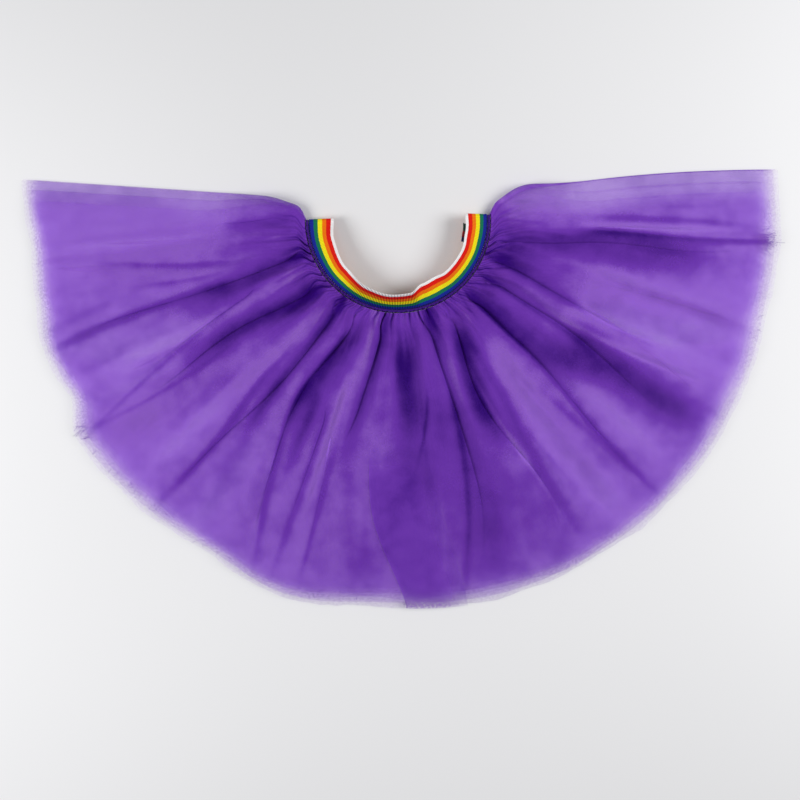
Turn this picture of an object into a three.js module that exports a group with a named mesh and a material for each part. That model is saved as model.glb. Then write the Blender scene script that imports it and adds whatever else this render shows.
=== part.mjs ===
// A child's tulle skirt with a striped elastic waistband, laid flat on a table and fanned out into a half
// disc. Millimetres, +Z up, table at Z = 0, and the origin under the middle of the footprint. The waist is
// towards +Y and the hem fans out towards -Y. Fan angles are in degrees about the fan's centre,
// anticlockwise from +X: 180 is the left wing, 270 the middle of the front and 360 the right wing. Three
// gathered tubes of tulle lie one inside the other. Each tube's front lies on its back, and the two are
// joined by a round fold along each wing's upper edge. The elastic is one loop, folded flat in the same
// way.

import * as THREE from "three";

// Driving sizes
const CLOTH = 1.0; // wall of one layer of tulle
const SEAM_GAP = 0.35; // clear space between neighbouring pieces
const TINY = 0.01; // keeps a slope that has shrunk to nothing from dividing by zero
const STEP = CLOTH + SEAM_GAP; // rise from one layer to the next
const TUBES = 3; // outer, middle and inner tube of tulle
const INSIDE = 2.9; // from the inner tube's back to its front, between their middles, where no pleat lifts it

const WAIST = { x: -1, y: -15.4, radius: 89, from: 181.6, to: 361.8 }; // half circle of the waist seam
const BAND = { width: 25, thickness: 1.3 };
const BAND_STATIONS = 48; // along the front half of the elastic's loop
const GATHERS = 48; // small gathers along the front of the seam
const GATHER = { height: 0.8, decay: 14 }; // half height at the seam, and how soon they die out below it
const HEADING = { start: 0.95, width: 2.6, thickness: 2.8, rim: 1.8 }; // bead of cloth outside the seam
const TULLE_START = HEADING.start + HEADING.width + 0.45; // from the waist seam out to the tulle
const JOIN = { angle: 356, length: 17, height: 2.6, thickness: 1.2, inset: 25.95 }; // overlocked end

const HEM_SLOPE = 9; // distance over which a raised layer comes down at a hem or a wing's edge
const EDGE_HEIGHT = 2.4; // front of the outer tube at its very edge
// The wings' edges, as angles: the edge at the hem, how much it is turned in nearer the waist and over what
// distance, how it is tucked in at the seam itself, and how far it bows out in between
const WINGS = {
  left: { hem: 176.2, swing: 6.5, swingOver: 45, tuck: 8.15, tuckOver: 6, bow: 0 },
  right: { hem: 365.3, swing: -6.55, swingOver: 27, tuck: -6.5, tuckOver: 6, bow: 1.9 },
};
const WING_LENGTH = 290;
const BOW_LEAN = 0.65; // under 1, the bow is widest nearer the waist
const NEST = 2; // an inner tube's edges lie this much further in at the waist
const WING_SPREAD = { from: 8, to: 110 }; // over this distance from the waist the wing edges part
// Height of the pleats over the distance from the waist, and from a wing's edge
const PUFF = { height: 12, rise: 45, keep: 0.2, decay: 90, side: 60 };

const FRONT_COLUMNS = 2 * GATHERS; // a crest and a hollow for each gather
const EDGE_COLUMNS = 2; // columns from one tube's wing edge to the next tube's
const BACK_COLUMNS = 20;
const FOLD_STEPS = 4; // facets of the round fold along a wing's edge
const STEEPEST = 0.35; // least upward part of a normal when one layer is set below another
const ROW_DROP = 1; // most that a neighbouring row pulls an inner layer down

// Share of the way from the waist to the hem, for each row of the cloth but the last three
const ROWS = [0, 0.026, 0.08, 0.14, 0.22, 0.32, 0.44, 0.58, 0.74, 0.86];

// Each tube: how far its hem and its wing edges lie inside the outer tube's, and how much shorter its back
// is.
const LAYERS = [
  { name: "outer_tulle", hem: 0, left: 0, right: 0, backHem: 4, color: 0x7a3fc0 },
  { name: "middle_tulle", hem: 12, left: 9, right: 18, backHem: 4, color: 0x7138b8 },
  { name: "inner_tulle", hem: 29, left: 18, right: 30, backHem: 5, color: 0x6831ae },
];

// Radius of the outer hem about the fan's centre
const HEM = [
  { angle: 176, radius: 379 },
  { angle: 186, radius: 371 },
  { angle: 194, radius: 376 },
  { angle: 202, radius: 385 },
  { angle: 210, radius: 382 },
  { angle: 216, radius: 400 },
  { angle: 228, radius: 399 },
  { angle: 240, radius: 397 },
  { angle: 254, radius: 410 },
  { angle: 268, radius: 402 },
  { angle: 286, radius: 406 },
  { angle: 304, radius: 404 },
  { angle: 320, radius: 399 },
  { angle: 334, radius: 391 },
  { angle: 346, radius: 384 },
  { angle: 366, radius: 381 },
];

// Valleys between the pleats: the angle at four radii, the stretch of radius, the depth as a share of the
// pleats' height, and the half width in millimetres.
const VALLEY_RADII = [100, 200, 300, 400];
const VALLEY_SPREAD = 0.037; // least half width as a share of the radius
const VALLEY_FADE = { in: 20, out: 70 }; // a valley starts and dies out over these distances
const VALLEYS = [
  { at: [188, 187, 186, 186], from: 95, to: 215, depth: 0.55, width: 8 },
  { at: [200, 197.5, 191, 190], from: 150, to: 325, depth: 0.5, width: 7 },
  { at: [207, 204.5, 202.6, 203], from: 90, to: 385, depth: 1, width: 8 },
  { at: [211, 211.8, 214, 216.5], from: 160, to: 395, depth: 0.5, width: 6 },
  { at: [226.5, 218, 218.2, 217], from: 90, to: 340, depth: 0.9, width: 9 },
  { at: [239.5, 236.8, 233, 232], from: 90, to: 385, depth: 1, width: 8 },
  { at: [250, 244.8, 246, 247.2], from: 90, to: 395, depth: 1, width: 8 },
  { at: [251, 251, 251.3, 251], from: 210, to: 400, depth: 0.5, width: 6 },
  { at: [257, 254, 255.2, 255.5], from: 230, to: 400, depth: 0.6, width: 6 },
  { at: [263, 259, 257, 256], from: 90, to: 270, depth: 0.9, width: 7 },
  { at: [273, 274, 276, 277], from: 95, to: 280, depth: 0.9, width: 10 },
  { at: [283, 285, 286, 283], from: 90, to: 400, depth: 1, width: 8 },
  { at: [295.5, 292, 297.5, 298.6], from: 90, to: 400, depth: 0.9, width: 8 },
  { at: [307, 311, 311.5, 312.2], from: 90, to: 395, depth: 0.9, width: 7 },
  { at: [312, 316.5, 320, 320], from: 130, to: 275, depth: 0.6, width: 9 },
  { at: [319.5, 323, 322.5, 322], from: 90, to: 380, depth: 1, width: 9 },
  { at: [330.5, 330.3, 331.5, 334], from: 90, to: 350, depth: 0.7, width: 7 },
  { at: [341, 349, 351.5, 354.5], from: 90, to: 385, depth: 1, width: 10 },
  { at: [352, 354, 356, 357], from: 190, to: 340, depth: 0.4, width: 7 },
];

// The elastic's rise from flat, by angle about the waist's centre. It lies nearly flat at the left fold,
// stands steeply at the middle of the front, and is pressed down again beside it.
const TILTS = [
  { angle: 178, tilt: 6 },
  { angle: 197, tilt: 26 },
  { angle: 224, tilt: 42 },
  { angle: 247, tilt: 56 },
  { angle: 262, tilt: 60 },
  { angle: 279, tilt: 57 },
  { angle: 290, tilt: 36 },
  { angle: 301, tilt: 33 },
  { angle: 311, tilt: 42 },
  { angle: 334, tilt: 41 },
  { angle: 348, tilt: 33 },
  { angle: 366, tilt: 28 },
];

// The cut end of the outer tulle, lapped over the front: the strip's two edges by radius
const LAP_RADII = [100, 200, 300, 400];
const LAP = {
  left: [264, 263, 264.6, 271],
  right: [274, 275.5, 277.5, 279.8],
  past: 1.5,
  columns: 6,
  lift: 1.95,
};

const rad = THREE.MathUtils.degToRad;
const { lerp, smoothstep } = THREE.MathUtils;

// Heights of the mid surfaces, from the table up: the backs of the tubes, then their fronts
const backHeight = (layer) => CLOTH / 2 + layer * STEP;
const FRONT_HEIGHT = backHeight(TUBES - 1) + INSIDE + (TUBES - 1) * STEP; // where no pleat lifts the front
const SEAM_FRONT = FRONT_HEIGHT - STEP; // middle of the three fronts
const SEAM_BACK = backHeight(1); // middle of the three backs

// A table's column at a given angle, eased from row to row.
function column(table, key, angle) {
  const last = table.length - 1;
  let i = table.findIndex((row) => row.angle > angle) - 1;
  if (i === -2) i = last - 1;
  i = Math.max(0, i);
  const [a, b] = [table[i], table[i + 1]];
  return lerp(a[key], b[key], smoothstep(angle, a.angle, b.angle));
}

// A smooth curve through values that belong to evenly spaced radii.
function along(values, radii, r) {
  const step = radii[1] - radii[0];
  const t = THREE.MathUtils.clamp((r - radii[0]) / step, 0, values.length - 1.001);
  const i = Math.floor(t);
  const v = (k) => values[THREE.MathUtils.clamp(k, 0, values.length - 1)];
  const f = t - i;
  const [p, q, s, u] = [v(i - 1), v(i), v(i + 1), v(i + 2)];
  return q + 0.5 * f * (s - p + f * (2 * p - 5 * q + 4 * s - u + f * (3 * (q - s) + u - p)));
}

// Distance from the fan's centre to the tulle's gathered edge, in the direction of an angle.
function waistRadius(angle) {
  const ahead = WAIST.x * Math.cos(rad(angle)) + WAIST.y * Math.sin(rad(angle));
  const reach = WAIST.radius + TULLE_START;
  return ahead + Math.sqrt(ahead ** 2 - WAIST.x ** 2 - WAIST.y ** 2 + reach ** 2);
}

// The angle of a wing's edge, by distance q from the waist.
function wingEdge({ hem, swing, swingOver, tuck, tuckOver, bow }, q) {
  const turn = swing * Math.exp(-((q / swingOver) ** 2)) + tuck * Math.exp(-((q / tuckOver) ** 2));
  return hem + turn + bow * Math.sin(Math.PI * Math.min(q / WING_LENGTH, 1) ** BOW_LEAN);
}
const leftWing = (q) => wingEdge(WINGS.left, q);
const rightWing = (q) => wingEdge(WINGS.right, q);

const wingSpread = (q) => smoothstep(q, WING_SPREAD.from, WING_SPREAD.to);

// Height of the pleats over the cloth between them: full on a crest and zero in a valley.
function pleats(angle, r) {
  let crest = 1;
  for (const { at, from, to, depth, width } of VALLEYS) {
    const across = (rad(angle - along(at, VALLEY_RADII, r)) * r) / Math.max(width, r * VALLEY_SPREAD);
    const begun = smoothstep(r, from - 1, from + VALLEY_FADE.in);
    const strength = begun * (1 - smoothstep(r, to - VALLEY_FADE.out, to));
    crest *= 1 - depth * strength * Math.exp(-across * across);
  }
  return crest;
}

// Mid surface of the outer front at column share a and distance q from the waist, with the hem at distance
// end.
function frontHeight(a, angle, r, q, end) {
  const spread = wingSpread(q);
  const arc = rad(rightWing(q) - leftWing(q)) * r;
  const fall = (distance, scale) => Math.exp(-Math.max(distance, 0) / (HEM_SLOPE * scale + TINY));
  const edge = [fall(end - q, 1), spread * fall(a * arc, spread), spread * fall((1 - a) * arc, spread)];
  const inside = edge.reduce((share, e) => share * (1 - e), 1);
  const puff =
    PUFF.height * smoothstep(q, 0, PUFF.rise) *
    (PUFF.keep + (1 - PUFF.keep) * Math.exp(-Math.max(q - PUFF.rise, 0) / PUFF.decay)) *
    (1 - spread * Math.exp(-a * arc / PUFF.side)) * (1 - spread * Math.exp(-(1 - a) * arc / PUFF.side));
  const ripple = GATHER.height * Math.exp(-q / GATHER.decay) * Math.cos(2 * Math.PI * GATHERS * a);
  return EDGE_HEIGHT + (FRONT_HEIGHT - EDGE_HEIGHT + puff * pleats(angle, r)) * inside + ripple;
}

// Distance from the waist of a row, where the last three rows are the hems of the inner, middle and outer
// tubes.
function rowDistance(row, end) {
  const hems = LAYERS.map((layer) => end - layer.hem).reverse();
  return row < ROWS.length ? ROWS[row] * hems[0] : hems[row - ROWS.length];
}

// How far a tube's edge lies inside the outer tube's, as a share of the arc there.
const edgeInset = (side, layer, q, arc) => (layer * NEST + LAYERS[layer][side] * wingSpread(q)) / arc;

// Column shares for the front. Its first and last columns come in groups that end at each tube's wing edge.
function columnShare(j, q, arc) {
  const inset = (side, k) => {
    const layer = Math.floor(k / EDGE_COLUMNS);
    const next = edgeInset(side, Math.min(layer + 1, TUBES - 1), q, arc);
    return lerp(edgeInset(side, layer, q, arc), next, (k % EDGE_COLUMNS) / EDGE_COLUMNS);
  };
  const grouped = EDGE_COLUMNS * (TUBES - 1);
  const mirrored = FRONT_COLUMNS - j;
  if (j <= grouped) return inset("left", j);
  if (mirrored <= grouped) return 1 - inset("right", mirrored);
  const share = (j - grouped) / (FRONT_COLUMNS - 2 * grouped);
  return lerp(inset("left", grouped), 1 - inset("right", grouped), share);
}

// A point on the cloth in plan, from its column share and its distance from the waist.
function planPoint(a, q) {
  const angle = lerp(leftWing(q), rightWing(q), a);
  const r = waistRadius(angle) + q;
  return { angle, r, x: r * Math.cos(rad(angle)), y: r * Math.sin(rad(angle)) };
}

const hemDistance = (a) => {
  const angle = lerp(leftWing(WING_LENGTH), rightWing(WING_LENGTH), a);
  return column(HEM, "radius", angle) - waistRadius(angle);
};

const LAST_ROW = ROWS.length + TUBES - 1;

// The outer front's mid surface, sampled once: every other front is moved down from these points.
const FRONT = Array.from({ length: LAST_ROW + 1 }, (_, row) =>
  Array.from({ length: FRONT_COLUMNS + 1 }, (_, j) => {
    let a = j / FRONT_COLUMNS;
    const end = hemDistance(a);
    const q = rowDistance(row, end);
    const arc = rad(rightWing(q) - leftWing(q)) * (waistRadius(270) + q);
    a = columnShare(j, q, arc);
    const p = planPoint(a, q);
    return new THREE.Vector3(p.x, p.y, frontHeight(a, p.angle, p.r, q, end));
  }),
);

// How far a parallel layer lies straight below a point of the outer front, from the slope there.
function dropAt(row, j) {
  const at = (i, k) => FRONT[THREE.MathUtils.clamp(i, 0, LAST_ROW)][THREE.MathUtils.clamp(k, 0, FRONT_COLUMNS)];
  const u = at(row + 1, j).clone().sub(at(row - 1, j));
  const v = at(row, j + 1).clone().sub(at(row, j - 1));
  const normal = u.cross(v).normalize();
  return STEP / Math.max(Math.abs(normal.z), STEEPEST);
}

// The front of one tube on the outer front's grid. An inner tube keeps every second column, and lies below
// the lowest of the points around it, so that the coarser cloth stays clear of the finer.
function frontGrid(layer) {
  const stride = layer === 0 ? 1 : 2;
  const border = EDGE_COLUMNS * layer;
  const rows = LAST_ROW - layer;
  return Array.from({ length: rows + 1 }, (_, row) => {
    const points = [];
    for (let j = border; j <= FRONT_COLUMNS - border; j += stride) {
      const p = FRONT[row][j].clone();
      if (layer > 0) {
        const near = [];
        for (let i = Math.max(0, row - 1); i <= Math.min(LAST_ROW, row + 1); i++)
          for (let k = Math.max(0, j - 1); k <= Math.min(FRONT_COLUMNS, j + 1); k++)
            near.push(i === row ? FRONT[i][k].z : Math.max(FRONT[i][k].z, p.z - ROW_DROP));
        p.z = Math.min(...near) - layer * dropAt(row, j);
      }
      points.push(p);
    }
    return points;
  });
}

// A round fold from the front's edge point down to the back's, bulging along the outward direction.
function foldPoints(top, bottom, outward, steps = FOLD_STEPS) {
  const centre = top.clone().add(bottom).multiplyScalar(0.5);
  const half = (top.z - bottom.z) / 2;
  return Array.from({ length: steps - 1 }, (_, k) => {
    const turn = (Math.PI * (k + 1)) / steps;
    const p = centre.clone().addScaledVector(outward, half * Math.sin(turn));
    p.z = centre.z + half * Math.cos(turn);
    const share = (k + 1) / steps;
    p.x += lerp(top.x, bottom.x, share) - centre.x;
    p.y += lerp(top.y, bottom.y, share) - centre.y;
    return p;
  });
}

// Unit direction away from the cloth, level and square to a wing's edge, whose points run from waist to
// hem. At the waist it follows the seam.
function awayFrom(edge, row, sign) {
  const seam = new THREE.Vector3(WAIST.x, WAIST.y, edge[0].z);
  const [from, to] = row === 0 ? [seam, edge[0]] : [edge[row - 1], edge[Math.min(row + 1, edge.length - 1)]];
  const ahead = to.clone().sub(from);
  return new THREE.Vector3(-ahead.y, ahead.x, 0).normalize().multiplyScalar(sign);
}

// All of one tube: rings from the waist to the hem, each running over the front, round the right fold, over
// the back and round the left fold.
function tubeGrid(layer) {
  const { backHem } = LAYERS[layer];
  const grid = frontGrid(layer);
  const rightEdge = grid.map((front) => front.at(-1));
  const leftEdge = grid.map((front) => front[0]);
  return grid.map((front, row) => {
    const lastRow = LAST_ROW - layer;
    const back = Array.from({ length: BACK_COLUMNS + 1 }, (_, k) => {
      const share = 1 - k / BACK_COLUMNS;
      const end = hemDistance(share);
      const q = rowDistance(row, end) - (backHem * row) / lastRow;
      const arc = rad(rightWing(q) - leftWing(q)) * (waistRadius(270) + q);
      const a = lerp(edgeInset("left", layer, q, arc), 1 - edgeInset("right", layer, q, arc), share);
      const p = planPoint(a, q);
      return new THREE.Vector3(p.x, p.y, backHeight(layer));
    });
    const rightFold = foldPoints(rightEdge[row], back[0], awayFrom(rightEdge, row, 1));
    const leftFold = foldPoints(leftEdge[row], back.at(-1), awayFrom(leftEdge, row, -1)).reverse();
    return [...front, ...rightFold, ...back, ...leftFold];
  });
}

// Unit normals of a grid of points, which closes on itself along each row when closed is true.
function gridNormals(grid, closed) {
  const rows = grid.length - 1;
  return grid.map((line, i) =>
    line.map((_, j) => {
      const n = line.length;
      const wrap = (k) => (closed ? (k + n) % n : THREE.MathUtils.clamp(k, 0, n - 1));
      const u = grid[Math.min(i + 1, rows)][j].clone().sub(grid[Math.max(i - 1, 0)][j]);
      const v = line[wrap(j + 1)].clone().sub(line[wrap(j - 1)]);
      return u.cross(v).normalize();
    }),
  );
}

// A closed wall about a grid of mid-surface points, of one thickness or of one for each row. The grid is a
// ring of columns when closed is true, and otherwise an open strip with two side faces.
function wall(grid, thickness, closed) {
  const normals = gridNormals(grid, closed);
  const half = (i) => (Array.isArray(thickness) ? thickness[i] : thickness) / 2;
  const side = (sign) =>
    grid.map((line, i) => line.map((p, j) => p.clone().addScaledVector(normals[i][j], sign * half(i))));
  const [over, under] = [side(1), side(-1)];
  const rows = grid.length;
  const cols = grid[0].length;
  const positions = [...over.flat(), ...under.flat()].flatMap((p) => [p.x, p.y, p.z]);
  const id = (face, i, j) => face * rows * cols + i * cols + (j % cols);
  const index = [];
  const quad = (a, b, c, d) => index.push(a, b, c, a, c, d);
  const lastColumn = closed ? cols : cols - 1;
  for (let j = 0; j < lastColumn; j++) {
    for (let i = 0; i < rows - 1; i++) {
      quad(id(0, i, j), id(0, i + 1, j), id(0, i + 1, j + 1), id(0, i, j + 1));
      quad(id(1, i, j), id(1, i, j + 1), id(1, i + 1, j + 1), id(1, i + 1, j));
    }
    quad(id(0, 0, j), id(0, 0, j + 1), id(1, 0, j + 1), id(1, 0, j));
    quad(id(0, rows - 1, j + 1), id(0, rows - 1, j), id(1, rows - 1, j), id(1, rows - 1, j + 1));
  }
  if (!closed)
    for (let i = 0; i < rows - 1; i++) {
      quad(id(0, i + 1, 0), id(0, i, 0), id(1, i, 0), id(1, i + 1, 0));
      quad(id(0, i, cols - 1), id(0, i + 1, cols - 1), id(1, i + 1, cols - 1), id(1, i, cols - 1));
    }
  const geometry = new THREE.BufferGeometry();
  geometry.setAttribute("position", new THREE.Float32BufferAttribute(positions, 3));
  geometry.setIndex(index);
  return geometry;
}

// The waist's loop: over the front from left to right, round a fold, and back under it. Each station gives
// the point on the seam line, the direction across the elastic and the height of the loop there.
function waistStations(count, lift = () => 0) {
  const front = Array.from({ length: count + 1 }, (_, k) => lerp(WAIST.from, WAIST.to, k / count));
  const place = (angle, z) => {
    const out = new THREE.Vector3(Math.cos(rad(angle)), Math.sin(rad(angle)), 0);
    const seam = out.clone().multiplyScalar(WAIST.radius).add(new THREE.Vector3(WAIST.x, WAIST.y, 0));
    const tilt = rad(column(TILTS, "tilt", angle));
    const across = out.clone().multiplyScalar(-Math.cos(tilt)).setZ(Math.sin(tilt));
    return { seam: seam.setZ(z), across, out, z };
  };
  const over = front.map((angle, k) => place(angle, SEAM_FRONT + lift(k)));
  const under = front.map((angle) => place(angle, SEAM_BACK)).reverse();
  const turn = (from, to) => {
    const sign = from.seam.x > 0 ? 1 : -1;
    const ahead = new THREE.Vector3(-from.out.y, from.out.x, 0).multiplyScalar(sign);
    const [top, bottom] = from.z > to.z ? [from, to] : [to, from];
    const points = foldPoints(top.seam, bottom.seam, ahead).map((seam) => ({ ...from, seam, z: seam.z }));
    return from.z > to.z ? points : points.reverse();
  };
  return [...over, ...turn(over.at(-1), under[0]), ...under, ...turn(under.at(-1), over[0])];
}

function makeBand() {
  const rows = [BAND.width, 0].map((w) =>
    waistStations(BAND_STATIONS).map(({ seam, across }) => seam.clone().addScaledVector(across, w)),
  );
  return wall(rows, BAND.thickness, true);
}

// The heading's bead: a flat oval of the tulle's gathered edges, which rises and falls with the front's
// gathers.
function makeHeading() {
  const stations = waistStations(FRONT_COLUMNS, (k) => GATHER.height * (k % 2 ? -1 : 1));
  const rows = [0, 0.5, 1].map((share) =>
    stations.map(({ seam, out }) => seam.clone().addScaledVector(out, HEADING.start + HEADING.width * share)),
  );
  return wall(rows, [HEADING.rim, HEADING.thickness, HEADING.rim], true);
}

// The overlocked end of the elastic's join, which shows at the inner edge beside the right fold.
function makeJoin() {
  const rows = [0, 1].map((end) =>
    [0, 1].map((top) => {
      const angle = JOIN.angle - (end * 180 * JOIN.length) / (Math.PI * (WAIST.radius - JOIN.inset));
      const tilt = rad(column(TILTS, "tilt", angle));
      const reach = WAIST.radius - JOIN.inset * Math.cos(tilt);
      const z = SEAM_BACK + JOIN.inset * Math.sin(tilt) + top * JOIN.height;
      const out = new THREE.Vector3(Math.cos(rad(angle)), Math.sin(rad(angle)), 0);
      return out.multiplyScalar(reach).add(new THREE.Vector3(WAIST.x, WAIST.y, z));
    }),
  );
  return wall(rows, JOIN.thickness, false);
}

// The lapped end of the outer tulle: a strip made from the outer front's surface, moved out by one layer.
function makeLap() {
  const grid = Array.from({ length: LAST_ROW }, (_, step) =>
    Array.from({ length: LAP.columns + 1 }, (_, k) => {
      const row = step + 1;
      let p = null;
      let share = 0.5;
      for (let pass = 0; pass < 3; pass++) {
        const end = hemDistance(share);
        const q = rowDistance(row, end) + (row === LAST_ROW ? LAP.past : 0);
        const r = waistRadius(270) + q;
        const angle = lerp(along(LAP.left, LAP_RADII, r), along(LAP.right, LAP_RADII, r), k / LAP.columns);
        share = (angle - leftWing(q)) / (rightWing(q) - leftWing(q));
        const plan = planPoint(share, q);
        const inside = Math.min(q, end);
        p = new THREE.Vector3(plan.x, plan.y, frontHeight(share, plan.angle, plan.r, inside, end));
      }
      return p;
    }),
  );
  const normals = gridNormals(grid, false);
  const raise = (p, i, j) => p.clone().addScaledVector(normals[i][j], LAP.lift);
  const lifted = grid.map((line, i) => line.map((p, j) => raise(p, i, j)));
  return wall(lifted, CLOTH, false);
}

function part(name, geometry, color, roughness) {
  const mesh = new THREE.Mesh(geometry, new THREE.MeshStandardMaterial({ color, roughness, metalness: 0 }));
  mesh.name = name;
  return mesh;
}

const skirt = new THREE.Group();
LAYERS.forEach(({ name, color }, layer) => {
  skirt.add(part(name, wall(tubeGrid(layer), CLOTH, true), color, 0.8));
});
skirt.add(part("tulle_end_lap", makeLap(), 0x6a30ae, 0.8));
skirt.add(part("waistband_elastic", makeBand(), 0xd42a1a, 0.7));
skirt.add(part("gathered_heading", makeHeading(), 0x2c1a66, 0.8));
skirt.add(part("waistband_join", makeJoin(), 0x2b2240, 0.8));

// The origin goes under the middle of the footprint.
const box = new THREE.Box3().setFromObject(skirt);
skirt.position.set(-(box.min.x + box.max.x) / 2, -(box.min.y + box.max.y) / 2, 0);

export default skirt;
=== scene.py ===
"""A child's tulle skirt with a striped elastic waistband, laid flat and fanned out into a half disc.

Three gathered tubes of tulle lie one inside the other, each with its front on its back. Cloth is worked
out in millimetres about the fan's centre and turned into metres in the part's frame when a mesh is made.
Angles are in degrees, anticlockwise from +X: 180 is the left wing, 270 the middle of the front and 360 the
right wing. In the functions below, angle and r are a point's place about the fan's centre, q its distance
from the waist seam, and a its share of the way from the left wing's edge to the right one's.
"""

import math
from types import SimpleNamespace

import bpy
import numpy as np
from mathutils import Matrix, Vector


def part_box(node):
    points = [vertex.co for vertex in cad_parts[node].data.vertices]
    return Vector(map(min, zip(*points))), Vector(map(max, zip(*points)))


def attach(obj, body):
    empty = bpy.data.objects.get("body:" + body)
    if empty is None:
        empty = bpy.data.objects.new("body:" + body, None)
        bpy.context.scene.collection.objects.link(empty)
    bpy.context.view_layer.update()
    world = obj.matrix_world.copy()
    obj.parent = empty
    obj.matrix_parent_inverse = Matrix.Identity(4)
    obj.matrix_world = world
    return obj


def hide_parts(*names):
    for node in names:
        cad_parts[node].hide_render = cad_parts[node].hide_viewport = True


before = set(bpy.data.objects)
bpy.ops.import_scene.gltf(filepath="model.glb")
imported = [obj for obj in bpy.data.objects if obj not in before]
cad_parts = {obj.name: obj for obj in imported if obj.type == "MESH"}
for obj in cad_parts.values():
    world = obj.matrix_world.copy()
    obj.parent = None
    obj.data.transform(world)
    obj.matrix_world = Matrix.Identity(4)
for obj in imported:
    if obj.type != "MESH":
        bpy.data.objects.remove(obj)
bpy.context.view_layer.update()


def table(columns, rows):
    """Rows of a table as dictionaries with the same keys."""
    return [dict(zip(columns, row)) for row in rows]


MM = 0.001
TINY = 0.01  # keeps a slope shrunk to nothing from dividing by zero
UP = np.array([0.0, 0.0, 1.0])

# Driving sizes, as in the part
CLOTH = 1.0
STEP = 1.35  # rise from one layer to the next
TUBES = 3
INSIDE = 2.9  # from the inner tube's back to its front, where no pleat lifts it
WAIST = {"x": -1.0, "y": -15.4, "radius": 89.0, "from": 181.6, "to": 361.8}
FRONT_MIDDLE = 270.0
BAND = {"width": 25.0, "thickness": 1.3}
HEADING = {"start": 0.6, "width": 2.5}
TULLE_START = 4.0
JOIN = {"angle": 356.0, "length": 17.0, "height": 2.6, "inset": 25.95}
HEM_SLOPE = 9.0
EDGE_HEIGHT = 2.4
# The wings' edges: the angle at the hem, how much it is turned in nearer the waist and over what distance,
# how it is tucked in at the seam itself, and how far it bulges out in between
WINGS = {
    "left": {"hem": 176.2, "swing": 6.5, "swing_over": 45, "tuck": 8.15, "tuck_over": 6, "bulge": 0},
    "right": {"hem": 365.3, "swing": -6.55, "swing_over": 27, "tuck": -6.5, "tuck_over": 6, "bulge": 1.9},
}
WING_LENGTH = 290.0
BULGE_LEAN = 0.65  # under 1, the bulge is widest nearer the waist
HEM_REACH = 300.0  # distance from the waist at which a wing's angle is read for the hem
NEST = 2.0  # an inner tube's edges lie this much further in at the waist
WING_SPREAD = {"from": 8.0, "to": 110.0}
# Height of the pleats over the distance from the waist, and from a wing's edge
PUFF = {"height": 12.0, "rise": 45.0, "keep": 0.2, "decay": 90.0, "side": 60.0}

# The band's box in the part gives the fan's centre
BAND_MIDDLE = {"x": -0.914, "y": -57.035}
band_low, band_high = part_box("waistband_elastic")
CENTRE_X = (band_low.x + band_high.x) / 2 - BAND_MIDDLE["x"] * MM
CENTRE_Y = (band_low.y + band_high.y) / 2 - BAND_MIDDLE["y"] * MM

# Each tube: the width of its cut, a strip gathered along one edge, how far its hem and wing edges
# lie inside the outer tube's at most, how much shorter its back is, its mesh's columns over the front and
# back, and its rows
LAYERS = table(("name", "cut", "hem", "left", "right", "back_hem", "front", "back", "rows"), [
    ("outer_tulle", 2660.0, 0, 0, 0, 4, 620, 360, 98),
    ("middle_tulle", 2520.0, 14, 9, 12, 4, 440, 360, 86),
    ("inner_tulle", 2370.0, 21, 18, 21, 5, 420, 340, 80),
])
STEEPEST = 2.2  # most that a slope multiplies a layer's step by
FOLD_STEPS = 8  # facets of the round fold along a wing's edge
LAP_RISE = [1.0, 0.7, 0.5]  # how far each tube's pleats stand off where they lap
FOLD_EDGE_COVER = 2.4  # the net covers more where the right wing's fold is seen edge on
LEAST_GATHER, MOST_GATHER = 1, 4  # layers of net that one gathered layer stands for

# Radius of the outer hem about the fan's centre, by angle
HEM = [
    (176, 379), (186, 371), (194, 376), (202, 385), (210, 382), (216, 400), (228, 399), (240, 397),
    (254, 410), (268, 402), (286, 406), (304, 404), (320, 399), (334, 391), (346, 384), (366, 381),
]

# Share of its largest hem inset that an inner tube has, by angle
HEM_INSETS = [
    (176, 0.5), (206, 0.45), (217, 0.9), (230, 0.75), (240, 0.43), (252, 0.45), (262, 0.65),
    (286, 0.7), (296, 0.45), (312, 0.5), (322, 0.7), (340, 0.8), (366, 0.8),
]

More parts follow.
